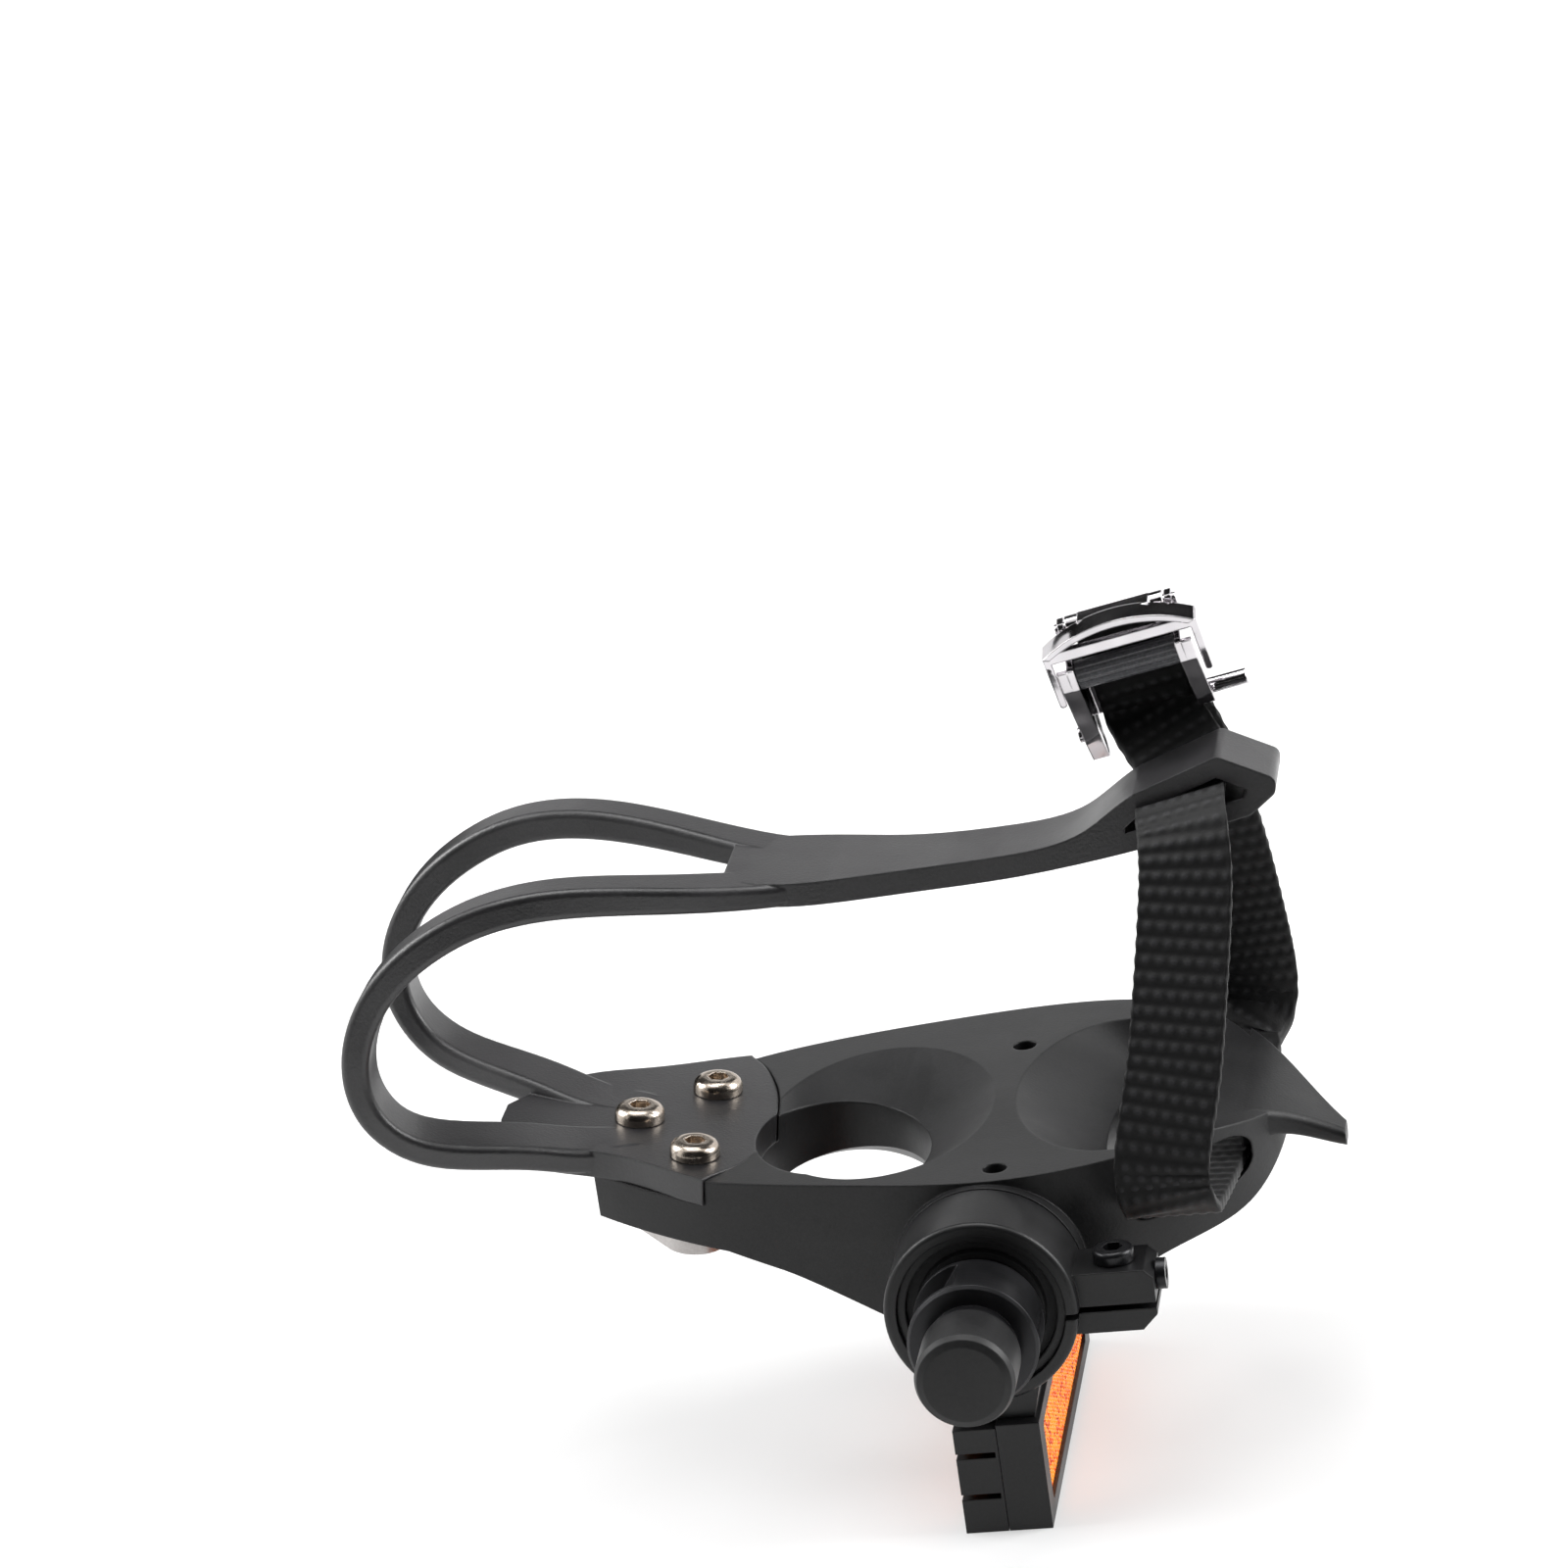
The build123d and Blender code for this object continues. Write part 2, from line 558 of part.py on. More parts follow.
webbing = eased(strap_line, 3)
with BuildPart() as strap:
    spots = [Vector(x, y, z) for x, y, z, a in webbing]
    for i, (x, y, z, a) in enumerate(webbing):
        way = (spots[min(i + 1, len(spots) - 1)] - spots[max(i - 1, 0)]).normalized()
        across = Vector(-math.cos(math.radians(a)), 0, math.sin(math.radians(a)))
        across = across - way * across.dot(way)
        with BuildSketch(Plane(origin=spots[i], x_dir=across, z_dir=way)):
            Rectangle(strap_w, strap_t)
    loft(ruled=True)
strap.part.label = "strap"
export_step(strap.part, "parts/strap.step")

# Buckle frame: two flanged cheeks on a back plate
cheek_in = strap_w / 2 + 1.0
cheek_t = 1.1
pivot_up = 6.5
pivot_out = -4.5
pin_r = 1.0
hook_len = 7.4
hook_r = 1.3
cheek = [(-6.6, 6.0), (-5.4, 8.0), (-3.4, 8.0), (-2.5, 5.2), (0.2, 3.2), (2.8, 2.6), (3.0, -1.0), (1.6, -8.0)]
front_end = [(0.6, -13.0), (-0.4, -16.6), (-3.2, -17.2), (-5.4, -16.0), (-6.6, -11.0)]
rear_end = [(1.1, -10.8), (-0.6, -11.8), (-4.0, -11.8), (-6.6, -9.6)]
flange_w = 1.7
flange = [(0.5, -7.8), (1.9, -1.0), (1.9, 2.6), (3.0, 2.6), (3.0, -1.0), (1.6, -8.0)]
front_lip = [(0.6, -13.0), (-0.4, -16.6), (-1.5, -16.3), (-0.5, -12.8)]
rear_lip = [(1.1, -10.8), (0.0, -10.6)]
side_plane = Plane(origin=buckle_plane.origin, x_dir=buckle_plane.z_dir, z_dir=-buckle_plane.x_dir)

with BuildPart() as buckle_frame:
    for start, end in ((cheek_in, front_end), (-cheek_in - cheek_t, rear_end)):
        with BuildSketch(side_plane.offset(start)):
            with BuildLine():
                Polyline(*cheek, *end, close=True)
            make_face()
        extrude(amount=cheek_t)
    for start, end in ((cheek_in + cheek_t, front_lip), (-cheek_in - cheek_t - flange_w, rear_lip)):
        with BuildSketch(side_plane.offset(start)):
            with BuildLine():
                Polyline(*flange, *end, close=True)
            make_face()
        extrude(amount=flange_w)
    with BuildSketch(side_plane.offset(-cheek_in)):
        with Locations((-5.25, -4.8)):
            Rectangle(0.9, 12.4)
    extrude(amount=2 * cheek_in)
    # hook end on the rear cheek, and the rolled stub on the front one
    with BuildSketch(side_plane.offset(-cheek_in - cheek_t - hook_len)):
        with Locations((-2.0, -9.6)):
            Circle(hook_r)
    extrude(amount=hook_len + 0.2)
    with BuildSketch(side_plane.offset(cheek_in + cheek_t - 0.2)):
        with Locations((-0.6, -11.4)):
            Circle(hook_r)
    extrude(amount=2.6)
    # pin holes
    with BuildSketch(side_plane.offset(-40)):
        with Locations((0, 0), (pivot_out, pivot_up)):
            Circle(pin_r + run_gap)
    extrude(amount=80, mode=Mode.SUBTRACT)
buckle_frame.part.label = "buckle_frame"
export_step(buckle_frame.part, "parts/buckle_frame.step")

# Ribbed roller on its pin
with BuildPart() as buckle_roller:
    with BuildSketch(side_plane.offset(-cheek_in + fit_gap)):
        Circle(roller_r)
        with PolarLocations(roller_r + 0.12, 14):
            Circle(0.3, mode=Mode.SUBTRACT)
        Circle(pin_r + run_gap, mode=Mode.SUBTRACT)
    extrude(amount=2 * cheek_in - 2 * fit_gap)
buckle_roller.part.label = "buckle_roller"
export_step(buckle_roller.part, "parts/buckle_roller.step")

with BuildPart() as roller_pin:
    with BuildSketch(side_plane.offset(-cheek_in - cheek_t - 0.6)):
        Circle(pin_r)
    extrude(amount=2 * (cheek_in + cheek_t) + 1.2)
roller_pin.part.label = "roller_pin"
export_step(roller_pin.part, "parts/roller_pin.step")

# Cam lever: an arched thumb plate with side arms, a cross bar, and the cam on its pin
cam_r = 1.9
arch_top = 9.2
arch_end = 5.4
arch_t = 1.2
lever_back = -2.2
lever_deep = 4.2
arm_in = cheek_in + cheek_t + flange_w + 0.4
arm_out = arm_in + arch_t
arm_end = -4.6
neck_half = 6.0
bar_h = 1.9
neck = [(pivot_out - 1.4, pivot_up + 0.7), (pivot_out - 0.6, pivot_up + 1.9), (lever_back + 0.5, arch_top - 0.5),
        (lever_back + 0.5, arch_top - 1.3), (pivot_out + 1.3, pivot_up + 1.0)]
with BuildPart() as buckle_lever:
    with BuildSketch(buckle_plane.offset(lever_back)):
        with BuildLine():
            ThreePointArc((-arm_out, arch_end), (0, arch_top), (arm_out, arch_end))
            Line((arm_out, arch_end), (arm_in, arch_end - 0.4))
            ThreePointArc((arm_in, arch_end - 0.4), (0, arch_top - arch_t), (-arm_in, arch_end - 0.4))
            Line((-arm_in, arch_end - 0.4), (-arm_out, arch_end))
        make_face()
    extrude(amount=lever_deep)
    for side in (1, -1):
        with BuildSketch(buckle_plane.offset(lever_back)):
            with Locations((side * (arm_in + arch_t / 2), (arch_end + arm_end) / 2)):
                RectangleRounded(arch_t, arch_end - arm_end, 0.5)
        extrude(amount=lever_deep - 0.8)
    with BuildSketch(side_plane.offset(-arm_in - 0.1)):
        with Locations((lever_back + lever_deep - 1.4, roller_r + 1.4 + bar_h / 2)):
            Rectangle(1.2, bar_h)
    extrude(amount=2 * arm_in + 0.2)
    with BuildSketch(side_plane.offset(-neck_half)):
        with BuildLine():
            Polyline(*neck, close=True)
        make_face()
    extrude(amount=2 * neck_half)
    with BuildSketch(side_plane.offset(-cheek_in + 0.3)):
        with Locations((pivot_out, pivot_up)):
            Circle(cam_r)
    extrude(amount=2 * cheek_in - 0.6)
    with BuildSketch(side_plane.offset(-cheek_in + 0.3)):
        with Locations((pivot_out, pivot_up)):
            Circle(pin_r + run_gap)
    extrude(amount=2 * cheek_in - 0.6, mode=Mode.SUBTRACT)
buckle_lever.part.label = "buckle_lever"
export_step(buckle_lever.part, "parts/buckle_lever.step")

with BuildPart() as lever_pin:
    with BuildSketch(side_plane.offset(-cheek_in - cheek_t - 0.6)):
        with Locations((pivot_out, pivot_up)):
            Circle(pin_r)
    extrude(amount=2 * (cheek_in + cheek_t) + 1.2)
lever_pin.part.label = "lever_pin"
export_step(lever_pin.part, "parts/lever_pin.step")

# Reflector bracket: split clamp ring, ears, neck and the rear half of the housing
clamp_r = neck_r + 2.1
clamp_in = -12.0
clamp_out = -25.4
ear_x = -27.6
ear_in = -14.5
ear_out = -24.4
ear_top = 4.4
ear_low = -5.8
split = 1.0
split_z = -1.7
nut_deep = 2.7
ear_screw_z = 1.5
box_top = box_low + box_h
bolt_x = -21.2
bolt_y = (ear_in + ear_out) / 2
bolt_r = 1.9
lens_z = box_low + box_h / 2
lens_y = box_in - box_len / 2

with BuildPart() as reflector_bracket:
    with BuildSketch(Plane.XZ.offset(-clamp_in)):
        Circle(clamp_r)
    extrude(amount=clamp_in - clamp_out)
    fillet(reflector_bracket.faces().sort_by(Axis.Y)[-1].edges(), 0.9)
    with BuildSketch(Plane.XZ.offset(-ear_in)):
        with BuildLine():
            Polyline((-11, ear_top), (ear_x + 1.5, ear_top), (ear_x, ear_top - 1.5), (ear_x, ear_low + 2.5),
                     (ear_x + 2.5, ear_low), (-11, ear_low), close=True)
        make_face()
    extrude(amount=ear_in - ear_out)
    with BuildSketch(Plane.XZ.offset(-clamp_in + 1.2)):
        with BuildLine():
            Polyline((-8, -12), (8, -12), (box_half - 1, box_top - 0.5), (-box_half + 1, box_top - 0.5),
                     close=True)
        make_face()
    extrude(amount=clamp_in - clamp_out - 1.4)
    with BuildSketch(Plane.XY.offset(box_low)):
        with Locations((-box_half / 2, lens_y)):
            Rectangle(box_half, box_len)
    extrude(amount=box_h)
    with BuildSketch(Plane.XZ.offset(-clamp_in)):
        Circle(neck_r + run_gap)
    extrude(amount=clamp_in - clamp_out, mode=Mode.SUBTRACT)
    with BuildSketch(Plane.XZ.offset(-clamp_in)):
        with Locations((-22, split_z)):
            Rectangle(20, split)
    extrude(amount=clamp_in - clamp_out, mode=Mode.SUBTRACT)
    with BuildSketch(Plane.XY.offset(20)):
        with Locations((bolt_x, bolt_y)):
            Circle(bolt_r + fit_gap)
    extrude(amount=-40, mode=Mode.SUBTRACT)
    with BuildSketch(Plane.YZ.offset(ear_x)):
        with Locations((bolt_y, ear_screw_z)):
            Circle(1.2 + fit_gap)
    extrude(amount=3.6, mode=Mode.SUBTRACT)
    with BuildSketch(Plane.XY.offset(ear_low)):
        with Locations((bolt_x, bolt_y)):
            RegularPolygon(3.5 + fit_gap, 6, major_radius=False)
    extrude(amount=nut_deep, mode=Mode.SUBTRACT)
    # pocket of the rear lens
    with BuildSketch(Plane.YZ.offset(-box_half)):
        with Locations((lens_y, lens_z)):
            RectangleRounded(lens_len + 2 * fit_gap, lens_h + 2 * fit_gap, 1.2)
    extrude(amount=lens_t + 0.7 + fit_gap, mode=Mode.SUBTRACT)
reflector_bracket.part.label = "reflector_bracket"
export_step(reflector_bracket.part, "parts/reflector_bracket.step")

# Front half of the housing with two snap slots in each end
with BuildPart() as reflector_cover:
    with BuildSketch(Plane.XY.offset(box_low)):
        with Locations((rest_gap + (box_half - rest_gap) / 2, lens_y)):
            Rectangle(box_half - rest_gap, box_len)
    extrude(amount=box_top - 0.5 - box_low)
    with BuildSketch(Plane.YZ.offset(box_half)):
        with Locations((lens_y, lens_z)):
            RectangleRounded(lens_len + 2 * fit_gap, lens_h + 2 * fit_gap, 1.2)
    extrude(amount=-lens_t - 0.7 - fit_gap, mode=Mode.SUBTRACT)
    with BuildSketch(Plane.YZ.offset(box_half)):
        for end in (box_in, box_in - box_len):
            with Locations((end, box_low + 6.3), (end, box_low + 13.5)):
                Rectangle(11.0, 0.95)
    extrude(amount=-box_half + 0.6, mode=Mode.SUBTRACT)
reflector_cover.part.label = "reflector_cover"
export_step(reflector_cover.part, "parts/reflector_cover.step")

# Prismatic lenses on both faces
with BuildPart() as lens_front:
    with BuildSketch(Plane.YZ.offset(box_half - 0.7)):
        with Locations((lens_y, lens_z)):
            RectangleRounded(lens_len, lens_h, 1.1)
    extrude(amount=-lens_t)
lens_front.part.label = "lens_front"
export_step(lens_front.part, "parts/lens_front.step")

with BuildPart() as lens_rear:
    with BuildSketch(Plane.YZ.offset(-box_half + 0.7)):
        with Locations((lens_y, lens_z)):
            RectangleRounded(lens_len, lens_h, 1.1)
    extrude(amount=lens_t)
lens_rear.part.label = "lens_rear"
export_step(lens_rear.part, "parts/lens_rear.step")

# Clamp screw, its nut and the small screw in the end of the ear
with BuildPart() as clamp_screw:
    with BuildSketch(Plane.XY.offset(ear_top + rest_gap)):
        with Locations((bolt_x, bolt_y)):
            Circle(3.3)
    extrude(amount=2.2)
    fillet(clamp_screw.faces().sort_by(Axis.Z)[-1].edges(), 0.8)
    with BuildSketch(Plane.XY.offset(ear_top + rest_gap)):
        with Locations((bolt_x, bolt_y)):
            Circle(bolt_r)
    extrude(amount=-(ear_top - ear_low - 0.3))
    with BuildSketch(Plane.XY.offset(ear_top + rest_gap + 2.2)):
        with Locations((bolt_x, bolt_y)):
            RegularPolygon(1.5, 6, major_radius=False)
    extrude(amount=-1.4, mode=Mode.SUBTRACT)
clamp_screw.part.label = "clamp_screw"
export_step(clamp_screw.part, "parts/clamp_screw.step")

with BuildPart() as clamp_nut:
    with BuildSketch(Plane.XY.offset(ear_low + nut_deep - rest_gap)):
        with Locations((bolt_x, bolt_y)):
            RegularPolygon(3.5, 6, major_radius=False)
            Circle(bolt_r + run_gap, mode=Mode.SUBTRACT)
    extrude(amount=-2.4)
clamp_nut.part.label = "clamp_nut"
export_step(clamp_nut.part, "parts/clamp_nut.step")

with BuildPart() as ear_screw:
    with BuildSketch(Plane.YZ.offset(ear_x - rest_gap)):
        with Locations((bolt_y, ear_screw_z)):
            Circle(2.5)
    extrude(amount=-1.5)
    with BuildSketch(Plane.YZ.offset(ear_x - rest_gap)):
        with Locations((bolt_y, ear_screw_z)):
            Circle(1.2)
    extrude(amount=3.4)
    with BuildSketch(Plane.YZ.offset(ear_x - rest_gap - 1.5)):
        with Locations((bolt_y, ear_screw_z)):
            RegularPolygon(1.2, 6, major_radius=False)
    extrude(amount=0.9, mode=Mode.SUBTRACT)
ear_screw.part.label = "ear_screw"
export_step(ear_screw.part, "parts/ear_screw.step")
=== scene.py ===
import math
import bmesh
import bpy
from mathutils import Matrix, Vector


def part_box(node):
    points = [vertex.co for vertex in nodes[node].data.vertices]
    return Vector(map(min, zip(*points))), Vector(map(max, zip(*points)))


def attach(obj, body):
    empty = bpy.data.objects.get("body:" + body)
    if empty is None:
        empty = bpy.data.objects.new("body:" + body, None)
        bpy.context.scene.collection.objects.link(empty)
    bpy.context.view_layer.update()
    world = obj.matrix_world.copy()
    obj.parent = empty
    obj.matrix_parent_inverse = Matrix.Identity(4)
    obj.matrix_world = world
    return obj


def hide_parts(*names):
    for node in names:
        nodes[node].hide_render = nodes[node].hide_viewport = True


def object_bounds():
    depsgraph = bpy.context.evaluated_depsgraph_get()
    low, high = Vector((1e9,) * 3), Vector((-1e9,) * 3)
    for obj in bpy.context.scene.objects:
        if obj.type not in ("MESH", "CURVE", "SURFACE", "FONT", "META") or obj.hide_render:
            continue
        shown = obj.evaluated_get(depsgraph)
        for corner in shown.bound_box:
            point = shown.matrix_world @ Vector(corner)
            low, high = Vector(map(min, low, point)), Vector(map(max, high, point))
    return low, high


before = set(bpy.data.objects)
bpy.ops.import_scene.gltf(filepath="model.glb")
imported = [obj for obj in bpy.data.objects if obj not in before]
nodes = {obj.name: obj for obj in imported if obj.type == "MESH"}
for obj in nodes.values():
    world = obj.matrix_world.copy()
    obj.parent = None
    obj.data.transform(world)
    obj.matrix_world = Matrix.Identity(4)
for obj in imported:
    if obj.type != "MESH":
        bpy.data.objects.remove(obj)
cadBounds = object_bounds()
mm = 0.001
print("frame loaded:", len(nodes), "pieces")


# sRGB hex to linear colour
def linear(hexCode):
    channels = [int(hexCode[i:i + 2], 16) / 255 for i in (1, 3, 5)]
    return [c / 12.92 if c <= 0.04045 else ((c + 0.055) / 1.055) ** 2.4 for c in channels] + [1.0]


# one shader node with its settings and incoming links
def addNode(tree, kind, settings=None, links=None):
    node = tree.nodes.new(kind)
    for key, value in (settings or {}).items():
        if isinstance(key, int) or key in node.inputs.keys():
            node.inputs[key].default_value = value
        else:
            setattr(node, key, value)
    for key, source in (links or {}).items():
        tree.links.new(source, node.inputs[key])
    return node


# a named material; plain values go on the shader's own sockets
def newMaterial(name, values):
    material = bpy.data.materials.new(name)
    material.use_nodes = True
    tree = material.node_tree
    shader = tree.nodes["Principled BSDF"]
    for key, value in values.items():
        shader.inputs[key].default_value = value
    return material, tree, shader


# places the colours of a ramp: pairs of position and hex colour
def setRamp(ramp, stops):
    elements = ramp.color_ramp.elements
    while len(elements) < len(stops):
        elements.new(0.5)
    for element, (position, colour) in zip(elements, stops):
        element.position = position
        element.color = linear(colour)


# How every hard surface mixes its tones
mixLook = {
    "tones": (0.7, 1.3),  # grain and clouds together, from the dark tone to the pale one
    "paleAt": 0.6, "wornStep": 0.4,  # place of the pale tone on the ramp, and what a worn edge adds
    "wornTurn": (0.97, 0.75),  # how far the rounded edge leans from the flat face, as a cosine
    "clouds": (0.35, 0.65),  # cloud values between the two roughnesses
    "grainRoughness": 0.6, "grainDetail": 3.0, "cloudDetail": 4.0, "edgeSamples": 6,
}


# A hard surface: two tones mixed by its grain and by slow clouds, edges rounded and worn paler.
# grain, cloud, height and edge are in millimetres; stretch draws the grain out along tool marks
def surfaceFinish(name, look, mix=mixLook):
    material, tree, shader = newMaterial(name, look["shader"])
    place = addNode(tree, "ShaderNodeTexCoord")
    drawn = addNode(tree, "ShaderNodeMapping", {"Scale": look.get("stretch", (1, 1, 1))},
                    {"Vector": place.outputs["Object"]})
    grain = addNode(tree, "ShaderNodeTexNoise",
                    {"Scale": 1 / (look["grain"] * mm), "Detail": look.get("detail", mix["grainDetail"]),
                     "Roughness": mix["grainRoughness"]}, {"Vector": drawn.outputs["Vector"]})
    cloud = addNode(tree, "ShaderNodeTexNoise",
                    {"Scale": 1 / (look["cloud"] * mm), "Detail": mix["cloudDetail"]},
                    {"Vector": place.outputs["Object"]})
    both = addNode(tree, "ShaderNodeMath", {"operation": "ADD"},
                   {0: grain.outputs["Fac"], 1: cloud.outputs["Fac"]})
    tone = addNode(tree, "ShaderNodeMapRange",
                   {"From Min": mix["tones"][0], "From Max": mix["tones"][1], "To Max": mix["paleAt"]},
                   {"Value": both.outputs[0]})
    rounded = addNode(tree, "ShaderNodeBevel", {"Radius": look["edge"] * mm, "samples": mix["edgeSamples"]})
    flat = addNode(tree, "ShaderNodeNewGeometry")
    turn = addNode(tree, "ShaderNodeVectorMath", {"operation": "DOT_PRODUCT"},
                   {0: rounded.outputs["Normal"], 1: flat.outputs["Normal"]})
    worn = addNode(tree, "ShaderNodeMapRange",
                   {"From Min": mix["wornTurn"][0], "From Max": mix["wornTurn"][1],
                    "To Max": mix["wornStep"]}, {"Value": turn.outputs["Value"]})
    total = addNode(tree, "ShaderNodeMath", {"operation": "ADD"},
                    {0: tone.outputs["Result"], 1: worn.outputs["Result"]})
    colour = addNode(tree, "ShaderNodeValToRGB", links={"Fac": total.outputs[0]})
    setRamp(colour, ((0.0, look["colour"]), (mix["paleAt"], look["pale"]), (1.0, look["worn"])))
    polish = addNode(tree, "ShaderNodeMapRange",
                     {"From Min": mix["clouds"][0], "From Max": mix["clouds"][1],
                      "To Min": look["rough"][0], "To Max": look["rough"][1]},
                     {"Value": cloud.outputs["Fac"]})
    bump = addNode(tree, "ShaderNodeBump", {"Strength": 1.0, "Distance": look["height"] * mm},
                   {"Height": grain.outputs["Fac"], "Normal": rounded.outputs["Normal"]})
    tree.links.new(colour.outputs["Color"], shader.inputs["Base Color"])
    tree.links.new(polish.outputs["Result"], shader.inputs["Roughness"])
    tree.links.new(bump.outputs["Normal"], shader.inputs["Normal"])
    return material


# Glass-filled nylon from a spark-eroded mould: near black, satin, an even fine grain, edges a shade paler
nylonLook = {"colour": "#131314", "pale": "#1c1c1d", "worn": "#302f31", "rough": (0.4, 0.52),
             "grain": 0.5, "cloud": 16.0, "height": 0.03, "edge": 0.5,
             "shader": {"IOR": 1.53, "Specular IOR Level": 0.32}}
# Unfilled nylon of the clip: a touch greyer and glossier than the body, so its upper faces shine grey
clipLook = dict(nylonLook, colour="#1f1f20", pale="#2a292b", worn="#454446", rough=(0.3, 0.42), height=0.045,
                shader={"IOR": 1.53, "Specular IOR Level": 0.6})
# ABS housing of the reflector: smoother skin with small radii
housingLook = dict(nylonLook, colour="#121213", pale="#1a1a1b", worn="#2d2c2e", rough=(0.34, 0.46),
                   height=0.015, edge=0.3)
# Polyethylene cap: soft, waxy and matt, scuffed at its rim
capLook = dict(nylonLook, colour="#0f0f10", pale="#171718", worn="#262627", rough=(0.38, 0.52),
               grain=0.9, height=0.02, edge=0.35, shader={"IOR": 1.51, "Specular IOR Level": 0.35})
# Blackened steel, turned on a lathe: fine rings round the axis, bright where the edge is rubbed
blackSteelLook = {"colour": "#1d1d1f", "pale": "#2b2b2d", "worn": "#6a686a", "rough": (0.28, 0.42),
                  "grain": 0.35, "cloud": 9.0, "height": 0.012, "edge": 0.2, "stretch": (0.04, 1, 0.04),
                  "shader": {"Metallic": 0.6}}
# Bearing steel, ground: bright, with close rings round the axis
bearingLook = dict(blackSteelLook, colour="#a2a2a6", pale="#b8b8bb", worn="#d2d2d4", rough=(0.14, 0.26),
                   height=0.006, shader={"Metallic": 1.0})
# Nitrile rubber, moulded: dull and dusty
rubberLook = dict(nylonLook, colour="#151516", pale="#1d1d1e", worn="#2a2a2b", rough=(0.62, 0.75),
                  height=0.02, edge=0.2, shader={"IOR": 1.52, "Specular IOR Level": 0.4})
# Nickel-plated steel: warm grey, bright on the heads' edges, lightly clouded by handling
nickelLook = {"colour": "#b3a698", "pale": "#cabfb3", "worn": "#eee6dc", "rough": (0.16, 0.3),
              "grain": 0.5, "cloud": 3.0, "height": 0.006, "edge": 0.3, "shader": {"Metallic": 1.0}}
# Tumbled aluminium: pale and cool, a soft pebbled sheen
aluminiumLook = {"colour": "#a9a5a3", "pale": "#c0bcba", "worn": "#dcd9d7", "rough": (0.34, 0.5),
                 "grain": 0.4, "cloud": 5.0, "height": 0.02, "edge": 0.3, "shader": {"Metallic": 1.0}}
# Chrome on stamped steel: mirror bright, but the sheet's ripple breaks up what it reflects
chromeLook = {"colour": "#c9c6c9", "pale": "#d8d5d8", "worn": "#efedef", "rough": (0.05, 0.13),
              "grain": 5.0, "detail": 0.0, "cloud": 6.0, "height": 0.5, "edge": 0.35,
              "shader": {"Metallic": 1.0}}
# Acetal roller: dark grey and waxy, much paler along the edges of its ribs
acetalLook = dict(nylonLook, colour="#47474a", pale="#5c5c60", worn="#a8a8ae", rough=(0.12, 0.2),
                  height=0.008, edge=0.15, shader={"IOR": 1.48, "Specular IOR Level": 0.9})

bodyNylon = surfaceFinish("Glass-filled nylon, moulded", nylonLook)
clipNylon = surfaceFinish("Nylon, moulded", clipLook)
housingPlastic = surfaceFinish("ABS, moulded", housingLook)
capPlastic = surfaceFinish("Polyethylene, moulded", capLook)
blackSteel = surfaceFinish("Blackened steel, turned", blackSteelLook)
bearingSteel = surfaceFinish("Bearing steel, ground", bearingLook)
sealRubber = surfaceFinish("Nitrile rubber, moulded", rubberLook)
nickelSteel = surfaceFinish("Steel, nickel plated", nickelLook)
tumbledAluminium = surfaceFinish("Aluminium, tumbled", aluminiumLook)
buckleChrome = surfaceFinish("Steel, chrome plated", chromeLook)
rollerAcetal = surfaceFinish("Acetal, moulded", acetalLook)


# Acrylic lens, dyed amber: clear gloss over a deep orange; random yellow flecks are painted as the prisms'
# glints, and the lens has a painted glow in its own colour, though it is no lamp
amberLook = {"stops": ((0.35, "#a83000"), (0.75, "#ec5a00"), (1.0, "#ff9622")), "paintedGlint": 0.9, "cloud": 9.0,
             "shader": {"IOR": 1.49, "Roughness": 0.2, "Specular IOR Level": 0.3, "Emission Strength": 0.16}}


def amberAcrylic(look):
    material, tree, shader = newMaterial("Acrylic, dyed amber, painted glow", look["shader"])
    place = addNode(tree, "ShaderNodeTexCoord")
    # painted glints: random cells that push the tone towards yellow
    paintedGlint = addNode(tree, "ShaderNodeTexVoronoi", {"Scale": 1 / (look["paintedGlint"] * mm)},
                    {"Vector": place.outputs["Object"]})
    cloud = addNode(tree, "ShaderNodeTexNoise", {"Scale": 1 / (look["cloud"] * mm)},
                    {"Vector": place.outputs["Object"]})
    spread = addNode(tree, "ShaderNodeSeparateColor", links={"Color": paintedGlint.outputs["Color"]})
    both = addNode(tree, "ShaderNodeMath", {"operation": "ADD"},
                   {0: spread.outputs["Red"], 1: cloud.outputs["Fac"]})
    colour = addNode(tree, "ShaderNodeValToRGB", links={"Fac": both.outputs[0]})
    setRamp(colour, look["stops"])
    tree.links.new(colour.outputs["Color"], shader.inputs["Base Color"])
    # painted glow: the lens emits its own colours, as if lit from inside
    tree.links.new(colour.outputs["Color"], shader.inputs["Emission Color"])
    return material


amberLens = amberAcrylic(amberLook)

finishes = {
    "pedal_body": bodyNylon, "dust_cap": bodyNylon, "toe_clip": clipNylon,
    "reflector_bracket": housingPlastic, "reflector_cover": housingPlastic,
    "lens_front": amberLens, "lens_rear": amberLens,
    "thread_cap": capPlastic, "spindle": blackSteel, "inboard_seal": sealRubber,
    "cone_nut": bearingSteel, "lock_washer": bearingSteel, "lock_nut": bearingSteel,
    "inboard_cup": bearingSteel, "outboard_cup": bearingSteel,
    "inboard_balls": bearingSteel, "outboard_balls": bearingSteel,
    "clip_screws": nickelSteel, "clamp_screw": blackSteel, "clamp_nut": blackSteel, "ear_screw": blackSteel,
    "buckle_frame": buckleChrome, "buckle_lever": buckleChrome,
    "roller_pin": buckleChrome, "lever_pin": buckleChrome, "buckle_roller": rollerAcetal,
}
for name, material in finishes.items():
    nodes[name].data.materials.clear()
    nodes[name].data.materials.append(material)
print("finishes set on", len(finishes), "pieces")


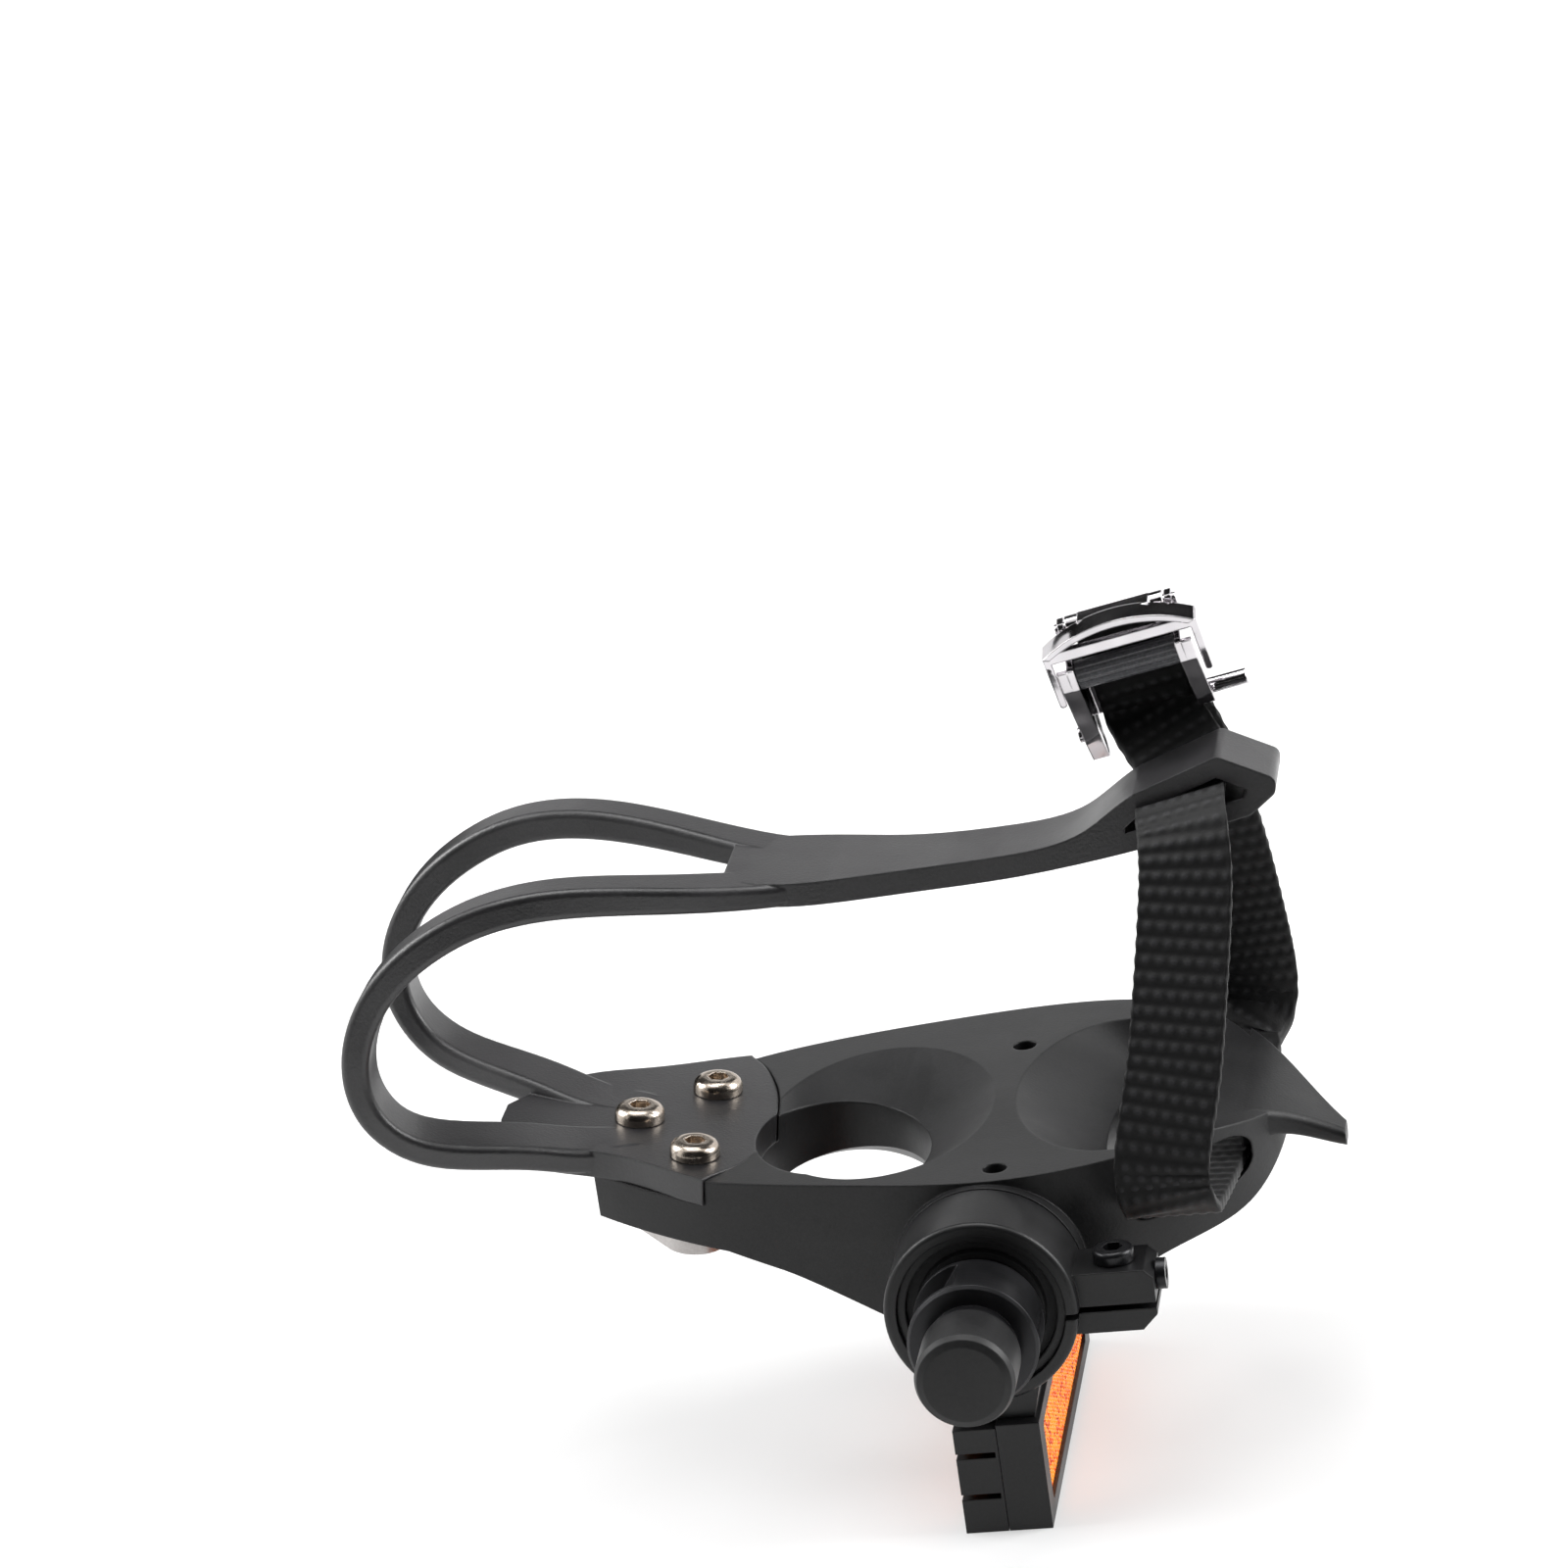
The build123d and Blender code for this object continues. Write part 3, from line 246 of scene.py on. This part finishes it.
# adds a finished bmesh as a piece at the origin
def addPiece(name, bm, material, body, smooth=True):
    mesh = bpy.data.meshes.new(name)
    bm.to_mesh(mesh)
    bm.free()
    mesh.polygons.foreach_set("use_smooth", [smooth] * len(mesh.polygons))
    piece = bpy.data.objects.new(name, mesh)
    bpy.context.scene.collection.objects.link(piece)
    piece.data.materials.append(material)
    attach(piece, body)
    return piece


# Woven strap; its lengths are in millimetres
strapLook = {
    "width": 15.0, "thick": 1.8,
    "row": 2.7, "yarn": 1.12, "rise": 0.17,  # pitch along the strap, pitch across it, height of the weave
    "broad": 0.5, "dip": 0.5,  # top of a float, lower is flatter, and how far the row sinks between floats
    "selvedge": 0.8, "fray": 0.14,  # edge over which the weave fades and the colour darkens to painted shade, and depth of its scallops
    "across": 42, "step": 0.31,  # columns of faces, and the length of one face
    "contrast": 1.5, "fuzz": 0.35,  # how tightly the painted highlight gathers on the crowns, and the share of the fibres in the tone
    "fibre": 0.25, "fibreDetail": 4.0, "fibreRise": 0.06, "fibreBump": 0.8,
    "stops":((0.25, "#050506"), (0.65, "#101011"), (1.0, "#222224")),  # painted shade in the gaps, the flanks, and a painted highlight on the crowns
    "shader": {"Roughness": 0.6, "Specular IOR Level": 0.3, "IOR": 1.53,
               "Sheen Weight": 0.08, "Sheen Roughness": 0.4},
    "route": [  # middle line, with the slope of the width in degrees
        (-37.3, -59, 66.9, 12.5), (-37.3, -65, 66.9, 12.5), (-36.9, -68.4, 68.1, 13),
        (-32, -73.9, 75.7, 10.5), (-31.1, -73, 80.6, 10.5), (-30.1, -71.7, 85.7, 10.5),
        (-29.5, -70.9, 89.2, 10.5), (-29.1, -71, 91.1, 10.5), (-28.9, -72, 92, 10.5),
        (-29, -73.3, 91.7, 10.5), (-29.3, -74.3, 90, 10.5), (-30.4, -75.9, 84.3, 10.5),
        (-31.6, -79.1, 77.5, 10.5), (-36.4, -81, 64, 9), (-38.8, -88.4, 47, 6), (-40, -94.6, 31, 3),
        (-40.4, -99, 19, 1), (-39.4, -100.3, 13.2, 0), (-36.8, -98.2, 9.6, 0), (-36.4, -94.1, 7, 0),
        (-35.3, -81.9, 5.9, 0), (-33.6, -62, 5.6, 0), (-32, -44.1, 6.5, 0), (-30.9, -31.5, 7.7, 0),
        (-30.6, -27.3, 9, 0), (-29.7, -25.4, 13.4, 0), (-30.6, -26.4, 19.6, 0), (-33.4, -30.8, 31, 3),
        (-35.8, -36.6, 45, 7), (-37.5, -41.6, 57, 10), (-37.7, -45.2, 63.5, 12),
        (-37.3, -49.6, 66.4, 12.5), (-37.3, -53, 66.9, 12.5), (-37.3, -59, 66.9, 12.5),
    ],
    "chords": 40,  # short chords between two spots of the route
}


# a point on the smooth line through the route's spots; t runs from 0 to the last spot
def onRoute(route, t):
    i = min(int(t), len(route) - 2)
    f = t - i
    spots = [route[max(i - 1, 0)], route[i], route[i + 1], route[min(i + 2, len(route) - 1)]]
    return [0.5 * (2 * b + (c - a) * f + (2 * a - 5 * b + 4 * c - d) * f * f
                   + (3 * b - a - 3 * c + d) * f ** 3)
            for a, b, c, d in zip(*spots)]


# even steps along the route, and its length
def routeSteps(route, step, chords):
    fine = [onRoute(route, k / chords) for k in range(chords * (len(route) - 1) + 1)]
    run = [0.0]
    for a, b in zip(fine, fine[1:]):
        run.append(run[-1] + math.dist(a[:3], b[:3]))
    count = int(run[-1] / step)
    steps, j = [], 0
    for k in range(count + 1):
        goal = run[-1] * k / count
        while j < len(run) - 2 and run[j + 1] < goal:
            j += 1
        f = (goal - run[j]) / max(run[j + 1] - run[j], 1e-9)
        steps.append([a + (b - a) * f for a, b in zip(fine[j], fine[j + 1])])
    return steps, run[-1]


# Nylon webbing, woven: rows of short floats across the strap, with a painted highlight on the crowns and
# painted shade in the gaps
def webbingFinish(look):
    material, tree, shader = newMaterial("Nylon webbing, woven", look["shader"])
    place = addNode(tree, "ShaderNodeTexCoord")
    fibre = addNode(tree, "ShaderNodeTexNoise",
                    {"Scale": 1 / (look["fibre"] * mm), "Detail": look["fibreDetail"]},
                    {"Vector": place.outputs["Object"]})
    # the painted light and shade of the weave, stored on the vertices
    height = addNode(tree, "ShaderNodeAttribute", {"attribute_name": "paintedLight"})
    both = addNode(tree, "ShaderNodeMath", {"operation": "MULTIPLY_ADD", 1: look["fuzz"]},
                   {0: fibre.outputs["Fac"], 2: height.outputs["Fac"]})
    tone = addNode(tree, "ShaderNodeValToRGB", links={"Fac": both.outputs[0]})
    setRamp(tone, look["stops"])
    bump = addNode(tree, "ShaderNodeBump",
                   {"Strength": look["fibreBump"], "Distance": look["fibreRise"] * mm},
                   {"Height": fibre.outputs["Fac"]})
    tree.links.new(tone.outputs["Color"], shader.inputs["Base Color"])
    tree.links.new(bump.outputs["Normal"], shader.inputs["Normal"])
    return material


def wovenStrap(look):
    steps, length = routeSteps(look["route"], look["step"], look["chords"])
    count = len(steps) - 1
    row = length / round(length / look["row"])
    bm = bmesh.new()
    paintedLight = bm.verts.layers.float.new("paintedLight")
    bmesh.ops.create_grid(bm, x_segments=look["across"], y_segments=count, size=0.5)
    middle = [Vector(s[:3]) for s in steps]
    for vert in bm.verts:
        k = round((vert.co.y + 0.5) * count)
        along = length * k / count
        side = vert.co.x * (look["width"] + look["fray"] * (math.cos(2 * math.pi * along / row) - 1))
        way = (middle[min(k + 1, count)] - middle[max(k - 1, 0)]).normalized()
        slope = math.radians(steps[k][3])
        width = Vector((-math.cos(slope), 0, math.sin(slope)))
        width = (width - way * width.dot(way)).normalized()
        out = width.cross(way)
        ridge = 0.5 + 0.5 * math.cos(2 * math.pi * along / row)
        yarn = math.cos(math.pi * side / look["yarn"])
        floats = 0.5 + 0.5 * math.cos(math.pi * along / row) * math.copysign(abs(yarn) ** look["broad"], yarn)
        weave = 2 * ridge * (1 - look["dip"] + look["dip"] * floats) - 1
        edge = min(1.0, (look["width"] / 2 - abs(side)) / look["selvedge"])
        # painted light: paler on the crowns, painted shade in the gaps and along the rim
        vert[paintedLight] = edge * (0.5 + 0.5 * weave) ** look["contrast"]
        vert.co = (middle[k] + width * side + out * (look["rise"] * weave * edge + look["thick"] / 2)) * mm
    bmesh.ops.solidify(bm, geom=bm.faces[:], thickness=-look["thick"] * mm)
    bmesh.ops.recalc_face_normals(bm, faces=bm.faces[:])
    piece = addPiece("wovenStrap", bm, webbingFinish(look), "pedal")
    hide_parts("strap")
    print("strap woven,", round(length), "mm long")


wovenStrap(strapLook)

# Prism field on each amber lens, in millimetres: rows of small pyramids, a little proud of the lens
prismLook = {"pitch": 1.3, "rise": 0.42, "margin": 0.9, "proud": 0.05}


def lensPrisms(name, node, facing, look):
    low, high = [Vector(corner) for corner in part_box(node)]
    margin = look["margin"] * mm
    pitch = look["pitch"] * mm
    wide, tall = high.y - low.y - 2 * margin, high.z - low.z - 2 * margin
    bm = bmesh.new()
    bmesh.ops.create_grid(bm, x_segments=round(wide / pitch), y_segments=round(tall / pitch), size=0.5)
    peaks = set(bmesh.ops.poke(bm, faces=bm.faces[:])["verts"])
    face = high.x if facing > 0 else low.x
    for vert in bm.verts:
        lift = look["proud"] + (look["rise"] if vert in peaks else 0.0)
        y, z = vert.co.x * wide, vert.co.y * tall
        vert.co = Vector((face + facing * lift * mm, (low.y + high.y) / 2 + y, (low.z + high.z) / 2 + z))
    bmesh.ops.recalc_face_normals(bm, faces=bm.faces[:])
    piece = addPiece(name, bm, amberLens, "pedal", smooth=False)


for name, node, facing in (("frontPrisms", "lens_front", 1), ("rearPrisms", "lens_rear", -1)):
    lensPrisms(name, node, facing, prismLook)
print("lens prisms set")

# Nut plate, in millimetres: the CAD plate, with its underside let down to the screws' ends.
# A face whose normal has less than underZ upwards belongs to the underside
plateLook = {"drop": 1.5, "weld": 0.001, "underZ": -0.9}


def nutPlate(look):
    bm = bmesh.new()
    bm.from_mesh(nodes["nut_plate"].data)
    bmesh.ops.remove_doubles(bm, verts=bm.verts[:], dist=look["weld"] * mm)
    bm.normal_update()
    under = [face for face in bm.faces if face.normal.z < look["underZ"]]
    corners = list({vert for face in under for vert in face.verts})
    down = under[0].normal.copy()
    bmesh.ops.translate(bm, verts=corners, vec=down * look["drop"] * mm)
    piece = addPiece("nutPlate", bm, tumbledAluminium, "pedal", smooth=False)
    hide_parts("nut_plate")
    print("nut plate set")


nutPlate(plateLook)

# Spindle thread, in millimetres: a ridge wound round the shank under the cap, 20 turns to the inch.
# half and flat are half its width at the root and at the crest, steps is counted to one turn
threadLook = {"root": 6.6, "crest": 7.14, "pitch": 1.27, "half": 0.36, "flat": 0.06,
              "start": 3.4, "end": 12.2, "steps": 40}


def spindleThread(look):
    turns = (look["end"] - look["start"]) / look["pitch"]
    bm = bmesh.new()
    corners = [(look["root"], -look["half"]), (look["crest"], -look["flat"]),
               (look["crest"], look["flat"]), (look["root"], look["half"])]
    verts = [bm.verts.new((r * mm, (look["start"] + y) * mm, 0)) for r, y in corners]
    profile = verts + [bm.edges.new(pair) for pair in zip(verts, verts[1:])]
    bmesh.ops.spin(bm, geom=profile, cent=(0, 0, 0), axis=(0, 1, 0),
                   dvec=(0, look["pitch"] * mm / look["steps"], 0),
                   angle=2 * math.pi * turns, steps=round(turns * look["steps"]))
    bmesh.ops.recalc_face_normals(bm, faces=bm.faces[:])
    addPiece("spindleThread", bm, blackSteel, "spindle")
    print("thread cut,", round(turns, 1), "turns")


spindleThread(threadLook)

# Floor: pale, with the part's soft shadow; its glow grows outwards, so that the far floor is white
stageLook = {
    "size": 6.0, "near": 0.15, "far": 0.9,  # in metres: its width, and the stretch over which the glow grows
    "drop": 0.05,  # in millimetres below the part
    "white": 0.8, "share": 0.5,  # the paper's own white, and the share of the light that is seen on it
    "nearLift": 0.44, "farLift": 0.72,  # the glow by the part and far from it
}
floorHeight = cadBounds[0][2] - stageLook["drop"] * mm


# a flat sheet of the studio; one that is only there to be reflected is hidden from the camera,
# lights nothing and casts no shadow
def stageSheet(name, material, size, matrix, reflectedOnly=False):
    bm = bmesh.new()
    bmesh.ops.create_grid(bm, x_segments=1, y_segments=1, size=0.5)
    bmesh.ops.scale(bm, verts=bm.verts[:], vec=(size[0], size[1], 1))
    bmesh.ops.transform(bm, verts=bm.verts[:], matrix=matrix)
    mesh = bpy.data.meshes.new(name)
    bm.to_mesh(mesh)
    bm.free()
    sheet = bpy.data.objects.new(name, mesh)
    mesh.materials.append(material)
    bpy.context.scene.collection.objects.link(sheet)
    if reflectedOnly:
        sheet.visible_camera = False
        sheet.visible_diffuse = False
        sheet.visible_shadow = False
        sheet.visible_transmission = False


# true for what the camera sees straight, in a reflection or through a clear part
def seenRays(tree):
    ray = addNode(tree, "ShaderNodeLightPath")
    direct = addNode(tree, "ShaderNodeMath", {"operation": "MAXIMUM"},
                     {0: ray.outputs["Is Camera Ray"], 1: ray.outputs["Is Transmission Ray"]})
    return addNode(tree, "ShaderNodeMath", {"operation": "MAXIMUM"},
                   {0: direct.outputs[0], 1: ray.outputs["Is Glossy Ray"]})


# Paper: white and matt; what is seen of it glows, so that its tone stays pale
paper = bpy.data.materials.new("Paper, white")
paper.use_nodes = True
tree = paper.node_tree
tree.nodes.clear()
plain = addNode(tree, "ShaderNodeBsdfDiffuse", {"Color": (stageLook["white"],) * 3 + (1,)})
shaded = addNode(tree, "ShaderNodeBsdfDiffuse", {"Color": (stageLook["share"],) * 3 + (1,)})
place = addNode(tree, "ShaderNodeTexCoord")
away = addNode(tree, "ShaderNodeVectorMath", {"operation": "LENGTH"}, {0: place.outputs["Object"]})
lift = addNode(tree, "ShaderNodeMapRange",
               {"From Min": stageLook["near"], "From Max": stageLook["far"],
                "To Min": stageLook["nearLift"], "To Max": stageLook["farLift"]},
               {"Value": away.outputs["Value"]})
glow = addNode(tree, "ShaderNodeEmission", links={"Strength": lift.outputs["Result"]})
seen = addNode(tree, "ShaderNodeAddShader", links={0: shaded.outputs[0], 1: glow.outputs[0]})
mixed = addNode(tree, "ShaderNodeMixShader",
                links={0: seenRays(tree).outputs[0], 1: plain.outputs[0], 2: seen.outputs[0]})
addNode(tree, "ShaderNodeOutputMaterial", links={"Surface": mixed.outputs[0]})
stageSheet("floor", paper, (stageLook["size"],) * 2, Matrix.Translation((0, 0, floorHeight)))

# Dark felt flags: they give the chrome its black streaks and keep the plastic's near sides deep;
# the low one behind darkens the sheen on the clip's base
flagLook = {
    "glow": 0.012,
    "aim": (0.01, -0.058, 0.025),  # what flags and lamps face: the middle of the part
    "flags": [  # name, middle, width, height, in metres
        ("frontFlagLow", (-0.05, 0.2, 0.02), 1.4, 0.2),
        ("frontFlagMiddle", (-0.05, 0.36, 0.26), 1.4, 0.24),
        ("frontFlagHigh", (-0.05, 0.42, 0.62), 1.4, 0.3),
        ("backFlag", (0.3, -0.7, 0.78), 1.7, 0.9),
        ("backFlagLow", (0.13, -0.17, 0.035), 0.11, 0.08),
    ],
}
felt = bpy.data.materials.new("Felt, black")
felt.use_nodes = True
felt.node_tree.nodes.clear()
dark = addNode(felt.node_tree, "ShaderNodeEmission", {"Strength": flagLook["glow"]})
addNode(felt.node_tree, "ShaderNodeOutputMaterial", links={"Surface": dark.outputs[0]})
aim = Vector(flagLook["aim"])
for name, spot, wide, tall in flagLook["flags"]:
    turn = (aim - Vector(spot)).to_track_quat("-Z", "Y").to_matrix().to_4x4()
    stageSheet(name, felt, (wide, tall), Matrix.Translation(spot) @ turn, reflectedOnly=True)

# World: white to the camera and in reflections, a softer fill on the part
worldLook = {"fill": 0.2, "seen": 1.0}
world = bpy.data.worlds.new("studio")
bpy.context.scene.world = world
world.use_nodes = True
tree = world.node_tree
tree.nodes.clear()
fill = addNode(tree, "ShaderNodeBackground", {"Color": (1, 1, 1, 1), "Strength": worldLook["fill"]})
white = addNode(tree, "ShaderNodeBackground", {"Color": (1, 1, 1, 1), "Strength": worldLook["seen"]})
mixed = addNode(tree, "ShaderNodeMixShader",
                links={0: seenRays(tree).outputs[0], 1: fill.outputs[0], 2: white.outputs[0]})
addNode(tree, "ShaderNodeOutputWorld", links={"Surface": mixed.outputs[0]})

# Soft boxes: above, at both sides, and behind for the far floor
softBoxes = [  # name, place, width and height in metres, watts
    ("topBox", (0.05, -0.15, 1.15), 0.8, 0.7, 8.0),
    ("leftBox", (0.95, -0.2, 0.7), 0.7, 0.7, 12.0),
    ("rightBox", (-0.95, -0.2, 0.55), 0.6, 0.7, 13.0),
    ("backBox", (0.1, -1.3, 1.1), 1.6, 0.6, 9.0),
]
for name, spot, wide, tall, watts in softBoxes:
    lamp = bpy.data.lights.new(name, "AREA")
    lamp.shape = "RECTANGLE"
    lamp.size = wide
    lamp.size_y = tall
    lamp.energy = watts
    box = bpy.data.objects.new(name, lamp)
    box.location = spot
    box.rotation_euler = (aim - Vector(spot)).to_track_quat("-Z", "Y").to_euler()
    bpy.context.scene.collection.objects.link(box)
print("studio lit by", len(softBoxes), "boxes")

# Camera: at the photograph's viewing angle, rolled a little; in millimetres, with its reach in metres
cameraLook = {"spot": (-135.0, 827.0, 382.0), "view": (0.1705, -0.9310, -0.3228),
              "up": (-0.0872, -0.3399, 0.9364), "lens": 135.0, "sensor": 36.0, "reach": 50.0}
camera = bpy.data.objects.new("camera", bpy.data.cameras.new("camera"))
camera.data.lens = cameraLook["lens"]
camera.data.sensor_width = cameraLook["sensor"]
camera.data.clip_end = cameraLook["reach"]
back = -Vector(cameraLook["view"]).normalized()
right = Vector(cameraLook["up"]).cross(back).normalized()
up = back.cross(right)
cameraTurn = Matrix((right, up, back)).transposed().to_4x4()
camera.matrix_world = Matrix.Translation(Vector(cameraLook["spot"]) * mm) @ cameraTurn
bpy.context.scene.collection.objects.link(camera)
bpy.context.scene.camera = camera
bpy.context.scene.view_settings.view_transform = "Standard"
